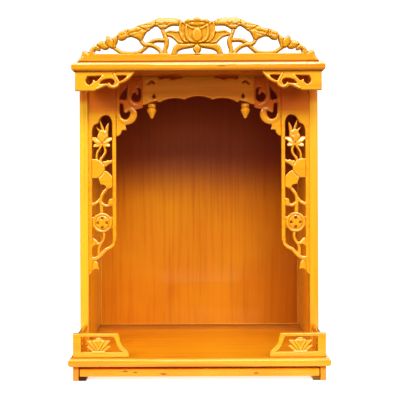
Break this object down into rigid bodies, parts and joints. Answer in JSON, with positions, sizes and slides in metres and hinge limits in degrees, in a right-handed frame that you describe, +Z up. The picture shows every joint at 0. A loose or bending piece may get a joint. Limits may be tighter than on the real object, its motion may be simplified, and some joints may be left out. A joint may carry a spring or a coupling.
{
  "type": "household altar cabinet",
  "caption": "Open-fronted household altar cabinet of lacquered pine with a pierced crest, carved panels round the niche, low lotus railings and a pull-out offering board.",
  "frame": {"origin": "middle of the footprint on the surface that the plinth stands on", "axes": "+Z up, -Y out of the open front, +X to the right as seen from the front"},
  "size_m": [0.48, 0.312, 0.67],
  "materials": {
    "board_pine": "glossy yellow lacquer over horizontal grain with small knots",
    "panel_pine": "glossy yellow lacquer over upright grain",
    "carved_pine": "glossy yellow lacquer over carved wood"
  },
  "bodies": {
    "cabinet": {"base_board": "board_pine", "left_plinth_board": "board_pine", "right_plinth_board": "board_pine", "back_plinth_board": "board_pine", "left_runner": "board_pine", "right_runner": "board_pine", "roof_board": "board_pine", "left_front_post": "panel_pine", "right_front_post": "panel_pine", "left_side_panel": "panel_pine", "right_side_panel": "panel_pine", "back_panel": "panel_pine", "crest": "carved_pine", "left_cornice_bracket": "carved_pine", "right_cornice_bracket": "carved_pine", "left_cornice_side_bracket": "carved_pine", "right_cornice_side_bracket": "carved_pine", "left_fret_panel": "carved_pine", "right_fret_panel": "carved_pine", "left_spandrel": "carved_pine", "right_spandrel": "carved_pine", "frieze_board": "carved_pine", "left_pendant": "carved_pine", "right_pendant": "carved_pine", "left_front_railing": "carved_pine", "right_front_railing": "carved_pine", "left_side_railing": "carved_pine", "right_side_railing": "carved_pine"},
    "offering_board": {"offering_board": "board_pine"}
  },
  "joints": [
    {"name": "offering_board_slide", "type": "slide", "parent": "cabinet", "child": "offering_board", "axis": [0, -1, 0], "range_m": [0, 0.18]}
  ]
}
